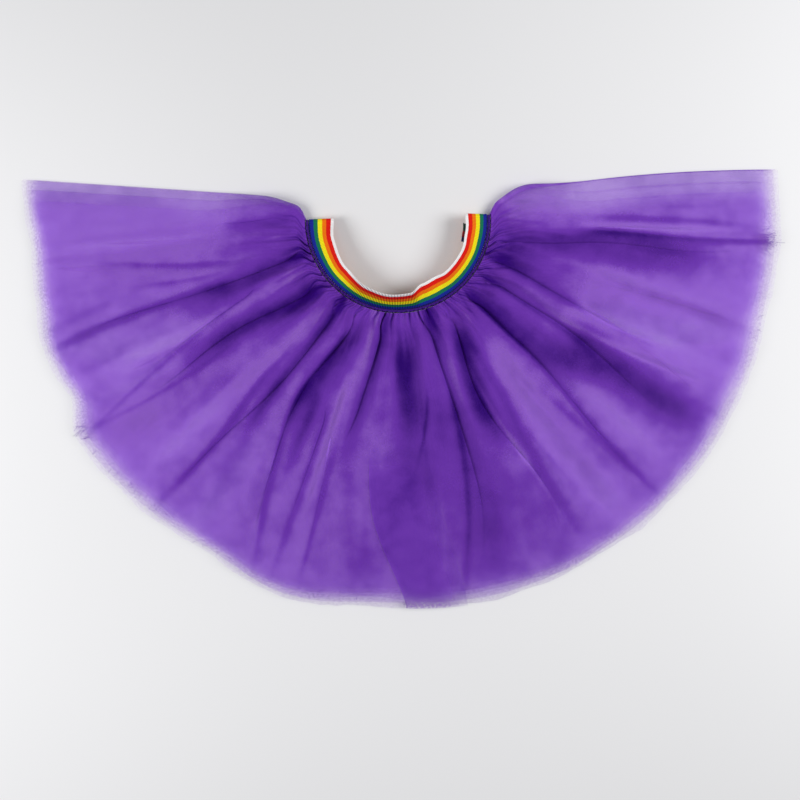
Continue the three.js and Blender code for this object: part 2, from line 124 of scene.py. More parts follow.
# Valleys between the pleats: the angle at each of the valley radii, the stretch of radius, the depth as a
# share of the pleats' height, the half width, and how far the pleat beside it laps over the valley
VALLEY_RADII = [100, 200, 300, 400]
VALLEY_SPREAD = 0.037  # least half width as a share of the radius
VALLEY_FADE = {"before": 1, "in": 20, "out": 70, "past": 0}
VALLEYS = table(("at", "from", "to", "depth", "width", "lap"), [
    ([188, 187, 186, 186], 95, 215, 0.55, 8, 3),
    ([200, 197.5, 191, 190], 150, 325, 0.5, 7, 0),
    ([207, 204.5, 202.6, 203], 90, 385, 1, 8, 7),
    ([211, 211.8, 214, 216.5], 160, 395, 0.5, 6, 4),
    ([226.5, 218, 218.2, 217], 90, 340, 0.9, 9, 6),
    ([239.5, 236.8, 233, 232], 90, 385, 1, 8, 8),
    ([251, 242.8, 244.8, 248], 90, 395, 1, 8, 8),
    ([251, 251, 251.3, 251], 210, 400, 0.5, 6, 4),
    ([257, 254, 255.2, 255.5], 230, 400, 0.6, 6, 5),
    ([263, 259, 257, 256], 90, 270, 0.9, 7, 6),
    ([273, 274, 276, 277], 95, 280, 0.9, 10, 0),
    ([283, 285, 286, 283], 90, 400, 1, 8, 7),
    ([295.5, 292, 297.5, 298.6], 90, 400, 0.9, 8, 8),
    ([307, 311, 311.5, 312.2], 90, 395, 0.9, 7, 8),
    ([312, 316.5, 320, 320], 130, 275, 0.6, 9, 0),
    ([319.5, 323, 322.5, 322], 90, 380, 1, 9, 9),
    ([330.5, 330.3, 331.5, 334], 90, 350, 0.7, 7, 5),
    ([341, 349, 351.5, 354.5], 90, 385, 1, 10, 8),
    ([352, 354, 356, 357], 190, 340, 0.4, 7, 3),
])

# Painted shading of the folds: a positive strength is cloth doubled under a fold, denser and in painted
# shade, and a negative one is a painted highlight on a lit crest. Angle at the same radii, stretch of radius,
# reach before and after the line, and strength.
SHADE_FADE = {"before": 22, "in": 22, "out": 65, "past": 10}
SHADES = table(("at", "from", "to", "before", "after", "strength"), [
    ([188, 188, 188, 188], 105, 195, 6, 8, 0.5),
    ([196, 196, 196, 196], 105, 215, 7, 8, 0.35),
    ([204, 197.3, 191.3, 189], 180, 315, 2.5, 5, 0.5),
    ([205, 200.8, 196.5, 195], 195, 290, 2, 4, 0.4),
    ([207, 206.5, 206, 206], 95, 250, 11, 14, 1.0),
    ([206, 204, 202.4, 202.9], 190, 395, 4, 5, 0.75),
    ([212, 212.5, 210, 209], 105, 385, 6, 9, -0.4),
    ([209, 211.8, 214.4, 216.6], 185, 405, 2, 3, 0.35),
    ([222, 220.5, 218.3, 215.8], 225, 400, 2, 3, 0.4),
    ([226.8, 218.2, 217, 216], 112, 280, 13, 11, 1.2),
    ([228.5, 227, 225, 224], 110, 215, 10, 10, 0.45),
    ([233, 230, 227, 226], 110, 385, 9, 9, -0.35),
    ([238, 232.6, 232.4, 231], 190, 385, 4, 4, 0.7),
    ([239.8, 236.6, 235.5, 236], 95, 285, 6, 6, 1.0),
    ([238, 236.5, 237, 238], 200, 370, 9, 8, 0.3),
    ([251, 243.2, 244, 246], 128, 262, 4, 21, 1.3),
    ([249, 247.6, 247.2, 248], 215, 310, 7, 6, 0.85),
    ([251, 242.4, 244.8, 248.2], 200, 395, 2, 5, 0.6),
    ([251, 251, 251.2, 251], 225, 400, 4, 4, 0.45),
    ([253, 253.3, 253, 253], 190, 345, 3, 3, -0.5),
    ([255, 255, 255.2, 255.2], 255, 400, 3, 3, 0.55),
    ([259, 254.5, 253, 252], 110, 240, 7, 7, -0.4),
    ([263.8, 259.3, 256, 255], 95, 260, 5, 8, 0.95),
    ([262, 259.5, 259, 259], 200, 310, 12, 8, 0.25),
    ([271, 272.6, 275, 275], 132, 235, 12, 15, 1.4),
    ([279, 278, 271.5, 270], 185, 280, 2, 2.5, 0.55),
    ([266.5, 266, 266, 266], 100, 185, 6, 6, -0.35),
    ([281, 281, 279, 278], 110, 275, 8, 6, 0.3),
    ([283.5, 285.2, 283.2, 279.6], 95, 410, 3.5, 4, 0.6),
    ([286.5, 286, 286, 286], 95, 175, 5, 8, 0.9),
    ([286, 286, 286, 285], 200, 405, 17, 24, 0.7),
    ([272, 272, 273, 274], 200, 320, 20, 22, 0.4),
    ([293, 293, 294, 295], 290, 410, 25, 25, 0.3),
    ([279, 279, 280, 282], 200, 400, 30, 25, 0.35),
    ([331, 331, 331, 331], 240, 385, 20, 20, -0.35),
    ([220, 220, 220, 220], 310, 405, 20, 20, -0.35),
    ([265, 265, 265, 265], 340, 410, 25, 20, 0.4),
    ([291, 288, 290, 292], 120, 265, 5, 4, -0.4),
    ([295.5, 292.3, 295, 297], 135, 275, 11, 15, 1.25),
    ([296.5, 298, 298.2, 299], 140, 385, 4, 6, 0.5),
    ([293, 293.8, 296.8, 298.3], 190, 335, 2, 2, -0.55),
    ([303, 303.5, 304.5, 306], 175, 410, 13, 13, -0.6),
    ([307, 310.9, 310.8, 311.8], 95, 400, 1.5, 6, 0.65),
    ([311, 314.5, 321, 325], 112, 285, 13, 15, 1.0),
    ([303, 306, 309.8, 311.5], 240, 385, 3, 5, 0.3),
    ([316, 317, 316, 316], 255, 380, 12, 8, -0.45),
    ([319.6, 322.4, 321.5, 320], 95, 245, 2.5, 9, 0.75),
    ([320.5, 322.8, 323, 324], 212, 390, 18, 19, 1.15),
    ([323, 324.8, 328.3, 331], 190, 365, 3, 4, -0.6),
    ([330.3, 329.8, 331, 333], 95, 300, 4, 7, 0.7),
    ([333, 334, 335, 335], 105, 180, 7, 8, 0.35),
    ([324, 329, 334.5, 340], 205, 375, 9, 18, -1.1),
    ([340, 341, 341, 342], 140, 305, 9, 7, -0.4),
    ([342, 350.5, 351.5, 353], 110, 330, 30, 8, 0.95),
    ([348, 352.4, 353.4, 354.6], 190, 398, 4, 1.6, 0.8),
    ([352, 353.9, 355, 356], 195, 335, 1.5, 4, -0.55),
    ([356.5, 356.5, 356.8, 356], 205, 365, 4, 3, 0.45),
    ([360, 362, 364, 365], 95, 250, 16, 24, -0.45),
    ([180, 182, 184, 185], 170, 400, 20, 55, -0.3),
    ([339, 339.5, 341, 342], 200, 400, 24, 25, -0.35),
])

# Small gathers and the tucks between them, counted along the seam
PUCKERS = 66
TUCKS = 27

# Knife folds: the half width of a fold at the centre, the radius over which it grows by 1 mm, where the fold
# lies against its valley, how far it dies out over the lap, and the stretch over which it flattens
KNIFE = {"half": 2.6, "widens": 160, "lean": 0.35, "past": 0.75, "lift": 0.5, "bend": 1.3, "dies": 14}
KNIFE_STARTS = (3, 30)
KNIFE_FLATTENS = (200, 330)

# Fine ridges and streaks, strewn at random: how many, and the ranges of distance from the waist, length,
# height or strength, and half width
STREWN = ("count", "start", "length", "height", "width")
FRONT_CREASES, BACK_CREASES, SEAM_STREAKS, FIELD_STREAKS = table(STREWN, [
    (60, (20, 200), (60, 180), (0.3, 1.1), (2, 5)),
    (60, (-8, 60), (30, 150), (0.2, 0.7), (2.2, 5)),
    (90, (-8, 10), (20, 70), (-0.3, 0.35), (1, 2.6)),
    (110, (10, 220), (50, 170), (-0.14, 0.18), (1.5, 6)),
])
SWELL = {"waves": 7, "wavelength": 62, "height": 0.2, "from": 40, "to": 120}

# Each tube's fade at the hem: the share of its length where it starts, on the inner tubes and the outer one,
# and, about the front's middle, how much later it starts on the outer one and how much weaker it is
HEM_FADE = {
    "inner": 0.965, "outer": 0.94, "later": 0.015, "most": 1.2, "weaker": 0.4, "angle": 280, "spread": 42,
}

# The inner tubes' fade towards their side folds: strength, and the distance that it takes
SIDE_FADE = {"right": 0.85, "right_over": 42, "left": 0.45, "left_over": 14, "power": 1.4, "starts_over": 35}

# Angles of the front and of the back's mirrored folds add up to this
BACK_MIRROR = 543
BACK_PRESS = 0.9  # how flat and far out the back's folds lie
LOOSE_RISE = 0.4  # slack of the outermost cloth over what lies under it

# The elastic's rise from flat, by angle about the waist's centre
TILTS = [
    (178, 6), (197, 26), (224, 42), (247, 56), (262, 60), (279, 57),
    (290, 36), (301, 33), (311, 42), (334, 41), (348, 33), (366, 28),
]

# The cut end of the outer tulle, lapped over the front: its edges as angles at the valley radii, the share of
# its length where it starts, how far it passes the hem, its mesh, how its edges and middle stand off, its
# added density and painted shade, the radii over which it comes to show, how sheer its right side is, its
# gathering and its cut's width
LAP = {
    "left": [264, 263, 264.6, 271],
    "right": [274, 275.5, 277.5, 279.8],
    "start": 0.06, "past": 1.5, "columns": 60, "rows": 150,
    "edge": 0.12, "edge_lift": 0.6, "middle_lift": 1.3, "darker": 0.3,
    "shows": (235, 285), "right_sheer": 0.75, "gather": 3.0, "looser": 0.8, "cut": 160,
}


def smooth(value, low, high):
    """Eased step from 0 at low to 1 at high."""
    t = np.clip((value - low) / (high - low), 0, 1)
    return t * t * (3 - 2 * t)


def eased(pairs, angle):
    """The value at given angles, eased from one pair of angle and value to the next."""
    keys, values = np.array(pairs, float).T
    i = np.clip(np.searchsorted(keys, angle, side="right") - 1, 0, len(keys) - 2)
    return values[i] + (values[i + 1] - values[i]) * smooth(angle, keys[i], keys[i + 1])


def along(values, r):
    """A smooth curve through values at the valley radii."""
    values = np.array(values, float)
    step = VALLEY_RADII[1] - VALLEY_RADII[0]
    t = np.clip((r - VALLEY_RADII[0]) / step, 0, len(values) - 1.001)
    i = np.floor(t).astype(int)
    f = t - i
    last = len(values) - 1
    p, q, s, u = (values[np.clip(i + k, 0, last)] for k in (-1, 0, 1, 2))
    return q + 0.5 * f * (s - p + f * (2 * p - 5 * q + 4 * s - u + f * (3 * (q - s) + u - p)))


def waist_radius(angle):
    """Distance from the fan's centre to the tulle's gathered edge."""
    reach = WAIST["radius"] + TULLE_START
    t = np.radians(angle)
    ahead = WAIST["x"] * np.cos(t) + WAIST["y"] * np.sin(t)
    return ahead + np.sqrt(ahead**2 - WAIST["x"] ** 2 - WAIST["y"] ** 2 + reach**2)


def wing_edge(side, q):
    """Angle of a wing's edge at distance q from the waist."""
    wing = WINGS[side]
    swing = wing["swing"] * np.exp(-((q / wing["swing_over"]) ** 2))
    tuck = wing["tuck"] * np.exp(-((q / wing["tuck_over"]) ** 2))
    bow = np.sin(math.pi * np.clip(q / WING_LENGTH, 0, 1) ** BULGE_LEAN)
    return wing["hem"] + (swing + tuck) + wing["bulge"] * bow


def wing_spread(q):
    """Share of their full spread that the wings' edges have reached."""
    return smooth(q, WING_SPREAD["from"], WING_SPREAD["to"])


def hem_angle(a):
    """Angle at the hem."""
    left, right = wing_edge("left", HEM_REACH), wing_edge("right", HEM_REACH)
    return left + (right - left) * a


def hem_distance(a):
    """Distance from the waist to the outer hem."""
    angle = hem_angle(a)
    return eased(HEM, angle) - waist_radius(angle)


def hem_inset(layer, a):
    """How far an inner tube's hem lies inside the outer one's."""
    return LAYERS[layer]["hem"] * eased(HEM_INSETS, hem_angle(a))


def arc_length(q, r):
    """Width of the front from wing edge to wing edge, in millimetres."""
    return np.radians(wing_edge("right", q) - wing_edge("left", q)) * r


def back_height(layer):
    """Height of a tube's back, at the middle of its wall."""
    return CLOTH / 2 + layer * STEP


FRONT_HEIGHT = back_height(TUBES - 1) + INSIDE + (TUBES - 1) * STEP
SEAM_FRONT = FRONT_HEIGHT - STEP
SEAM_BACK = back_height(1)


def offset_from(line, angle, r, fade):
    """Distance along the arc from the line of a valley or a shade, and its strength there."""
    across = np.radians(angle - along(line["at"], r)) * r
    begun = smooth(r, line["from"] - fade["before"], line["from"] + fade["in"])
    over = smooth(r, line["to"] - fade["out"], line["to"] + fade["past"])
    return across, begun * (1 - over)


def pleats(angle, r):
    """Height of the pleats: 1 on a crest and 0 in a valley."""
    crest = np.ones_like(angle)
    for valley in VALLEYS:
        across, strength = offset_from(valley, angle, r, VALLEY_FADE)
        width = np.maximum(valley["width"], r * VALLEY_SPREAD)
        crest = crest * (1 - valley["depth"] * strength * np.exp(-((across / width) ** 2)))
    return crest


def front_height(a, angle, r, q, end):
    """Height of the outer front where only the pleats lift it, and the share of that lift."""
    spread = wing_spread(q)
    arc = arc_length(q, r)

    def fall(distance, scale):
        return np.exp(-np.maximum(distance, 0) / (HEM_SLOPE * scale + TINY))

    inside = 1 - fall(end - q, 1)
    puff = PUFF["height"] * smooth(q, 0, PUFF["rise"])
    decay = np.exp(-np.maximum(q - PUFF["rise"], 0) / PUFF["decay"])
    puff = puff * (PUFF["keep"] + (1 - PUFF["keep"]) * decay)
    for from_edge in (a * arc, (1 - a) * arc):
        inside = inside * (1 - spread * fall(from_edge, spread))
        puff = puff * (1 - spread * np.exp(-from_edge / PUFF["side"]))
    z = EDGE_HEIGHT + (FRONT_HEIGHT - EDGE_HEIGHT + puff * pleats(angle, r)) * inside
    return z, inside


def knife_folds(angle, r, q, rise=1.0, keep=0.45):
    """Sideways shift and lift that turn each valley's near side into a flat fold lying over it."""
    shift = np.zeros_like(angle)
    lift = np.zeros_like(angle)
    for valley in VALLEYS:
        if not valley["lap"]:
            continue
        across, strength = offset_from(valley, angle, r, VALLEY_FADE)
        strength = strength * smooth(q, *KNIFE_STARTS) * (1 - (1 - keep) * smooth(r, *KNIFE_FLATTENS))
        half = KNIFE["half"] + r / KNIFE["widens"]
        u = (across + KNIFE["lean"] * valley["width"]) / half
        # the bell below is at most 0.6 high
        reach = (valley["lap"] / 2 + KNIFE["past"] * half) / 0.6
        shift = shift - strength * reach * u * np.exp(-u * u / 2)
        over = KNIFE["lift"] * (1 - np.tanh(KNIFE["bend"] * u))
        lift = lift + strength * rise * over * np.exp(-np.maximum(-u * half - 2, 0) / KNIFE["dies"])
    return shift, lift


def darkness(angle, r, q, a):
    """Denser cloth and painted shade under a fold over 0, and a painted highlight on a lit crest under 0."""
    total = np.zeros_like(angle)
    for shade in SHADES:
        across, strength = offset_from(shade, angle, r, SHADE_FADE)
        half = np.where(across < 0, shade["before"], shade["after"])
        total = total + shade["strength"] * strength * np.exp(-((across / half) ** 2))
    rng = np.random.default_rng(3)
    # fine random streaks in the same density and painted shade, by the seam and over the field
    total = total + gathers(rng, angle, r, q, **SEAM_STREAKS)
    total = total + gathers(rng, angle, r, q, **FIELD_STREAKS)
    # painted shade in the tucks between the small gathers by the seam, and slightly lighter right at the seam
    tucks = np.maximum(np.cos(pucker_phase(a, TUCKS)), 0) ** 6 * np.exp(-np.maximum(q - 4, 0) / 14)
    return total + 0.75 * tucks - 0.1 * np.exp(-q / 20)


def thinning(angle, share, layer):
    """How sheer the cloth gets towards the hem: least about the middle of the front."""
    middle = np.exp(-(((angle - HEM_FADE["angle"]) / HEM_FADE["spread"]) ** 2))
    start = HEM_FADE["inner"] if layer else HEM_FADE["outer"] + HEM_FADE["later"] * middle
    return HEM_FADE["most"] * smooth(share, start, 1.0) * (1 - HEM_FADE["weaker"] * middle)


def side_cover(layer, a, low, high, arc, q):
    """Share of its cover that a tube keeps: the inner tubes grow sheer towards their side folds."""
    if layer == 0:
        return np.ones_like(a)
    narrowing = 1 - 0.45 * smooth(q, 60, 200)
    right = 1 - smooth((high - a) * arc / narrowing, 0, SIDE_FADE["right_over"])
    left = 1 - smooth((a - low) * arc, 0, SIDE_FADE["left_over"])
    lost = SIDE_FADE["right"] * right ** SIDE_FADE["power"] + SIDE_FADE["left"] * left
    return 1 - lost * smooth(q, 0, SIDE_FADE["starts_over"])


def pucker_phase(a, count):
    """Phase of the small gathers along the seam, unevenly spaced."""
    return 2 * math.pi * count * a + 1.7 * np.sin(2 * math.pi * 9 * a) + 0.9 * np.sin(2 * math.pi * 4 * a + 1)


def seam_ripple(a, q):
    """Height of the small gathers between the main pleats, the same in every layer so that they nest."""
    fine = (1.1 * np.exp(-q / 30) + 0.15 * np.exp(-q / 200)) * np.cos(pucker_phase(a, PUCKERS))
    return fine - 1.2 * np.exp(-q / 40) * np.cos(pucker_phase(a, TUCKS))


def gathers(rng, angle, r, q, count, start, length, height, width):
    """Fine ridges that fan out from near the waist, each at a random place."""
    lift = np.zeros_like(angle)
    for _ in range(count):
        centre = rng.uniform(181, 361)
        bend = rng.normal(0, 1.5)
        first = rng.uniform(*start)
        reach = rng.uniform(*length)
        size = rng.uniform(*height)
        half = rng.uniform(*width)
        line = centre + bend * (q - first) / 100
        across = np.radians(angle - line) * r / (half * (0.8 + r / 500))
        fade = smooth(q, first - 4, first + 6) * (1 - smooth(q, first + 0.4 * reach, first + reach))
        lift = lift + size * fade * np.exp(-across * across)
    return lift


def row_shares(rows):
    """Shares of the way from waist to hem, closer together at both ends."""
    t = np.linspace(0, 1, rows + 1)
    return 0.55 * t + 0.45 * (0.6 * t**2 + 0.4 * (1 - (1 - t) ** 2) * t)


def edge_inset(side, layer, q, arc):
    """Share of the width by which a tube's wing edge lies inside the outer tube's."""
    return (layer * NEST + LAYERS[layer][side] * wing_spread(q)) / arc


def fan_grid(layer, first, last, columns, shorter):
    """One side of a tube from a first to a last share of the fan's width, spread out but still flat."""
    evens = np.linspace(first, last, columns + 1)
    share, even = np.meshgrid(row_shares(LAYERS[layer]["rows"]), evens, indexing="ij")
    end = hem_distance(even)
    q = share * (end - hem_inset(layer, even) - shorter)
    arc = arc_length(q, waist_radius(FRONT_MIDDLE) + q)
    low = edge_inset("left", layer, q, arc)
    high = 1 - edge_inset("right", layer, q, arc)
    a = low + (high - low) * even
    left, right = wing_edge("left", q), wing_edge("right", q)
    angle = left + (right - left) * a
    r = waist_radius(angle) + q
    side = smooth(a * arc, 2, 30) * smooth((1 - a) * arc, 2, 30)
    cover = side_cover(layer, a, low, high, arc, q)
    return SimpleNamespace(share=share, end=end, q=q, a=a, angle=angle, r=r, side=side, cover=cover)


def around_fan(angle, r):
    """The x and y of points at an angle and a radius."""
    return r * np.cos(np.radians(angle)), r * np.sin(np.radians(angle))


def swelling(rng, angle, r, q):
    """Slight uneven rise of the front between its pleats, from a few random plane waves."""
    x, y = around_fan(angle, r)
    rise = np.zeros_like(x)
    for _ in range(SWELL["waves"]):
        turn = rng.uniform(0, 2 * math.pi)
        wavelength = SWELL["wavelength"] * rng.uniform(0.7, 1.5)
        phase = rng.uniform(0, 2 * math.pi)
        ahead = x * math.cos(turn) + y * math.sin(turn)
        rise = rise + np.sin(ahead * 2 * math.pi / wavelength + phase)
    return SWELL["height"] * rise / math.sqrt(SWELL["waves"]) * smooth(q, SWELL["from"], SWELL["to"])


def hem_wander(rng, angle, layer):
    """How far the cut edge strays in and out along the hem."""
    frill = rng.normal(0, 1, size=angle.shape[1])
    frill = np.convolve(frill, np.hanning(9) / 3, mode="same")
    t = np.radians(angle)
    wobble = sum(rng.uniform(0.3, 0.9) * np.sin(t * k + rng.uniform(0, 6)) for k in (9, 17, 29, 46))
    return 0.5 * frill + (0.7 + 0.7 * layer) * wobble


def front_cloth(layer):
    """The front of one tube: x, y, z, distance from the waist, thinning, density and painted shade, and cover
    of each point.
    """
    rng = np.random.default_rng(11 + layer)
    grid = fan_grid(layer, 0, 1, LAYERS[layer]["front"], 0)
    angle, r, q, side = grid.angle, grid.r, grid.q, grid.side
    z, inside = front_height(grid.a, angle, r, q, grid.end)
    slope_across = np.gradient(z, axis=1) / (np.gradient(angle, axis=1) * math.pi / 180 * r)
    slope_down = np.gradient(z, axis=0) / np.gradient(r, axis=0)
    z = z - layer * STEP * np.minimum(np.sqrt(1 + slope_across**2 + slope_down**2), STEEPEST)

    crease = gathers(rng, angle, r, q, **FRONT_CREASES)
    swell = swelling(rng, angle, r, q)
    z = z + seam_ripple(grid.a, q) * side
    shift, lift = knife_folds(angle, r, q, LAP_RISE[layer])
    angle = angle + np.degrees(shift * side / r)
    loose = -0.3 * crease if layer else crease + swell + LOOSE_RISE
    z = z + (lift + loose) * side * inside
    dark = darkness(angle, r, q, grid.a)
    at_hem = smooth(grid.share, 0.9, 1.0) * side
    r = r + hem_wander(rng, angle, layer) * at_hem
    if layer == 0:
        z = z + 0.5 * np.sin(np.radians(angle) * 46) * at_hem
    return *around_fan(angle, r), z, q, thinning(angle, grid.share, layer), dark, grid.cover


def back_cloth(layer):
    """The back of one tube, from the right wing's edge to the left's, in the same terms."""
    rng = np.random.default_rng(31 + layer)
    grid = fan_grid(layer, 1, 0, LAYERS[layer]["back"], LAYERS[layer]["back_hem"])
    angle, r, q = grid.angle, grid.r, grid.q
    shift, pressed = knife_folds(BACK_MIRROR - angle, r, q, BACK_PRESS, BACK_PRESS)
    crease = gathers(rng, angle, r, q, **BACK_CREASES)
    ripple = seam_ripple(grid.a, q) + 2.3 * np.exp(-q / 40)
    lift = pressed + 0.3 * np.minimum(crease, 1) + 0.4 * ripple
    z = back_height(layer) + lift * grid.side
    angle = angle - np.degrees(shift * grid.side / r)
    dark = darkness(BACK_MIRROR - angle, r, q, grid.a)
    return *around_fan(angle, r), z, q, thinning(angle, grid.share, layer), dark, grid.cover


def fold_between(first, last, outward):
    """Round fold from one edge to another, as arrays of FOLD_STEPS - 1 columns."""
    share = np.linspace(0, 1, FOLD_STEPS + 1)[1:-1]
    half = (first - last)[:, 2:] / 2
    bulge = np.abs(half) * np.sin(math.pi * share)
    x, y = (first[:, [k]] + (last - first)[:, [k]] * share + outward[:, [k]] * bulge for k in (0, 1))
    z = (first + last)[:, 2:] / 2 + half * np.cos(math.pi * share)
    return x, y, z


def away_from(edge, sign):
    """Level unit directions square to a wing's edge, whose points run from waist to hem."""
    ahead = np.gradient(edge[:, :2], axis=0)
    ahead[0] = edge[0, :2] - np.array([WAIST["x"], WAIST["y"]])
    out = np.stack([-ahead[:, 1], ahead[:, 0]], axis=1) * sign
    return out / np.linalg.norm(out, axis=1, keepdims=True)


def tube(layer):
    """All round one tube, in the terms of its front: the front, right fold, back and left fold."""
    front = front_cloth(layer)
    back = back_cloth(layer)

    def edge(cloth, column):
        return np.stack([cloth[k][:, column] for k in range(3)], axis=1)

    right = fold_between(edge(front, -1), edge(back, 0), away_from(edge(front, -1), 1))
    left = fold_between(edge(back, -1), edge(front, 0), away_from(edge(front, 0), -1))
    steps = FOLD_STEPS - 1
    for values in front[3:]:
        right += (np.repeat(values[:, -1:], steps, 1),)
        left += (np.repeat(values[:, :1], steps, 1),)
    right = (*right[:-1], right[-1] * FOLD_EDGE_COVER)
    return [np.concatenate(parts, axis=1) for parts in zip(front, right, back, left)]


def link(name, points, faces, material):
    """A piece from points in millimetres about the fan's centre and a list or array of faces."""
    mesh = bpy.data.meshes.new(name)
    place = np.asarray(points, float).reshape(-1, 3) * MM + np.array([CENTRE_X, CENTRE_Y, 0])
    mesh.from_pydata(place.tolist(), [], faces if isinstance(faces, list) else faces.tolist())
    mesh.update()
    mesh.polygons.foreach_set("use_smooth", [True] * len(mesh.polygons))
    mesh.materials.append(material)
    piece = bpy.data.objects.new(name, mesh)
    bpy.context.scene.collection.objects.link(piece)
    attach(piece, "root")
    return piece


def grid_faces(rows, columns, closed):
    """Quads of a grid of points, which joins up along each row when closed is true."""
    last = columns if closed else columns - 1
    i, j = np.meshgrid(np.arange(rows - 1), np.arange(last), indexing="ij")
    k = (j + 1) % columns
    upper, lower = i * columns, (i + 1) * columns
    return np.stack([upper + j, lower + j, lower + k, upper + k], axis=-1).reshape(-1, 4)


def ring_faces(stations, columns, closed):
    """Quads of a grid whose last row joins up with its first; closed joins up each row as well."""
    faces = grid_faces(stations + 1, columns, closed)
    return np.where(faces >= stations * columns, faces - stations * columns, faces)


def numbers(piece, **arrays):
    """Numbers on each point, for the materials."""
    for name, values in arrays.items():
        attribute = piece.data.attributes.new(name, "FLOAT", "POINT")
        attribute.data.foreach_set("value", np.asarray(values, np.float32).ravel())


def round_length(points):
    """Length of each row of a grid of points that joins up along its rows, in millimetres."""
    return np.linalg.norm(np.roll(points, -1, axis=1) - points, axis=2).sum(axis=1)


# Materials

NET_CELL = 1.15  # from hole to hole of the net
COVER = 0.215  # share that one flat layer of net covers
NOISE_LOW, NOISE_HIGH = 0.3, 0.7  # where nearly all of a noise texture's values lie
# The net's colours: a painted highlight on a lit crest, between, denser cloth in painted shade under a fold,
# and at the hem, paler: painted light from the white floor through the thin net
LIT = (0.455, 0.19, 0.88)
MIDDLE = (0.215, 0.052, 0.57)
DENSE_AND_SHADED = (0.034, 0.002, 0.195)
HEM_LIGHT_FROM_FLOOR = (0.50, 0.26, 0.82)


def fill(node, settings):
    """Set a node's inputs by name."""
    for key, amount in settings.items():
        node.inputs[key].default_value = amount


class Nodes:
    """A material's node tree, with short calls that add a node and wire it."""

    def __init__(self, name):
        self.material = bpy.data.materials.new(name)
        self.material.use_nodes = True
        self.tree = self.material.node_tree
        self.shader = self.tree.nodes["Principled BSDF"]

    def add(self, kind, **settings):
        node = self.tree.nodes.new(kind)
        for key, value in settings.items():
            setattr(node, key, value)
        return node

    def wire(self, source, target):
        self.tree.links.new(source, target)

    def attribute(self, name):
        return self.add("ShaderNodeAttribute", attribute_name=name).outputs["Fac"]

    def math(self, operation, *values):
        node = self.add("ShaderNodeMath", operation=operation)
        for socket, value in zip(node.inputs, values):
            if isinstance(value, (int, float)):
                socket.default_value = value
            else:
                self.wire(value, socket)
        return node.outputs[0]

    def between(self, value, low, high, to_low=0.0, to_high=1.0):
        node = self.add("ShaderNodeMapRange", interpolation_type="SMOOTHSTEP")
        self.wire(value, node.inputs["Value"])
        fill(node, {"From Min": low, "From Max": high, "To Min": to_low, "To Max": to_high})
        return node.outputs["Result"]

    def plus(self, first, second):
        return self.math("ADD", first, second)

    def times(self, first, second):
        return self.math("MULTIPLY", first, second)

    def noise(self, scale, detail):
        node = self.add("ShaderNodeTexNoise")
        fill(node, {"Scale": scale, "Detail": detail})
        self.wire(self.add("ShaderNodeTexCoord").outputs["Object"], node.inputs["Vector"])
        return node.outputs["Fac"]

    def speckle(self, scale, detail, low, high):
        """Noise stretched to run from low to high."""
        return self.between(self.noise(scale, detail), NOISE_LOW, NOISE_HIGH, low, high)

    def mix(self, share, first, second):
        node = self.add("ShaderNodeMix", data_type="RGBA")
        # sockets by number, as several of this node's share a name
        self.wire(share, node.inputs[0])
        for socket, colour in ((node.inputs[6], first), (node.inputs[7], second)):
            if isinstance(colour, tuple):
                socket.default_value = (*colour, 1)
            else:
                self.wire(colour, socket)
        return node.outputs[2]

    def bands(self, colours, place):
        """Sharp bands of colour, each given with the place where it starts."""
        ramp = self.add("ShaderNodeValToRGB")
        ramp.color_ramp.interpolation = "CONSTANT"
        elements = ramp.color_ramp.elements
        elements.remove(elements[1])
        for k, (start, colour) in enumerate(colours):
            element = elements.new(start) if k else elements[0]
            element.color = (*colour, 1)
        self.wire(place, ramp.inputs["Fac"])
        return ramp.outputs["Color"]

    def bump(self, height, distance):
        node = self.add("ShaderNodeBump")
        fill(node, {"Distance": distance, "Strength": 0.5})
        self.wire(height, node.inputs["Height"])
        self.wire(node.outputs["Normal"], self.shader.inputs["Normal"])

    def finish(self, colour, roughness, specular, sheen=0.0):
        """The material, with its colour wired in and its gloss and sheen set."""
        self.wire(colour, self.shader.inputs["Base Color"])
        fill(self.shader, {"Roughness": roughness, "Specular IOR Level": specular, "Sheen Weight": sheen})
        return self.material


